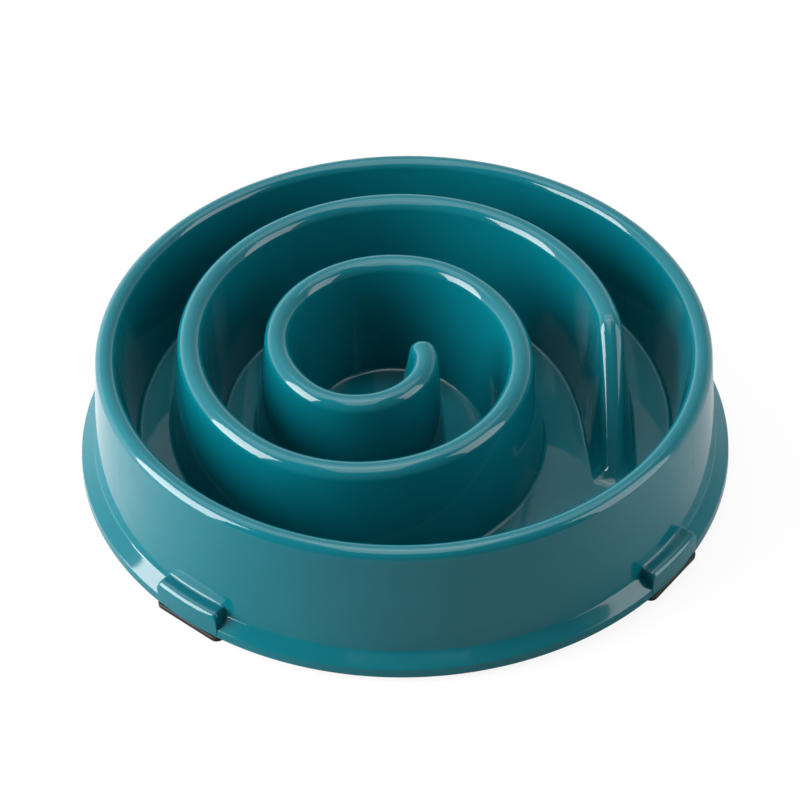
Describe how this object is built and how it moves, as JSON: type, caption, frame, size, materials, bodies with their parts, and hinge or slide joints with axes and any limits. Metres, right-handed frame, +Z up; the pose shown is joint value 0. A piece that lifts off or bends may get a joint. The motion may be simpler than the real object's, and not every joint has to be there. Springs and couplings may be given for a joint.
{
  "type": "slow feeder bowl",
  "caption": "Round moulded pet bowl with a hollow spiral ridge inside that slows eating, on rubber pads under its flange.",
  "frame": {"origin": "middle of the footprint on the floor, at the undersides of the feet", "axes": "+Z up; -Y to the front, where the sloping outer end of the spiral ridge points; +X to the right seen from the front"},
  "size_m": [0.215, 0.215, 0.0466],
  "materials": {
    "shell_plastic": "glossy injection-moulded plastic, teal",
    "foot_rubber": "matte black rubber"
  },
  "bodies": {
    "root": {"bowl_shell": "shell_plastic", "foot_front_right": "foot_rubber", "foot_back_right": "foot_rubber", "foot_back_left": "foot_rubber", "foot_front_left": "foot_rubber"}
  },
  "joints": []
}
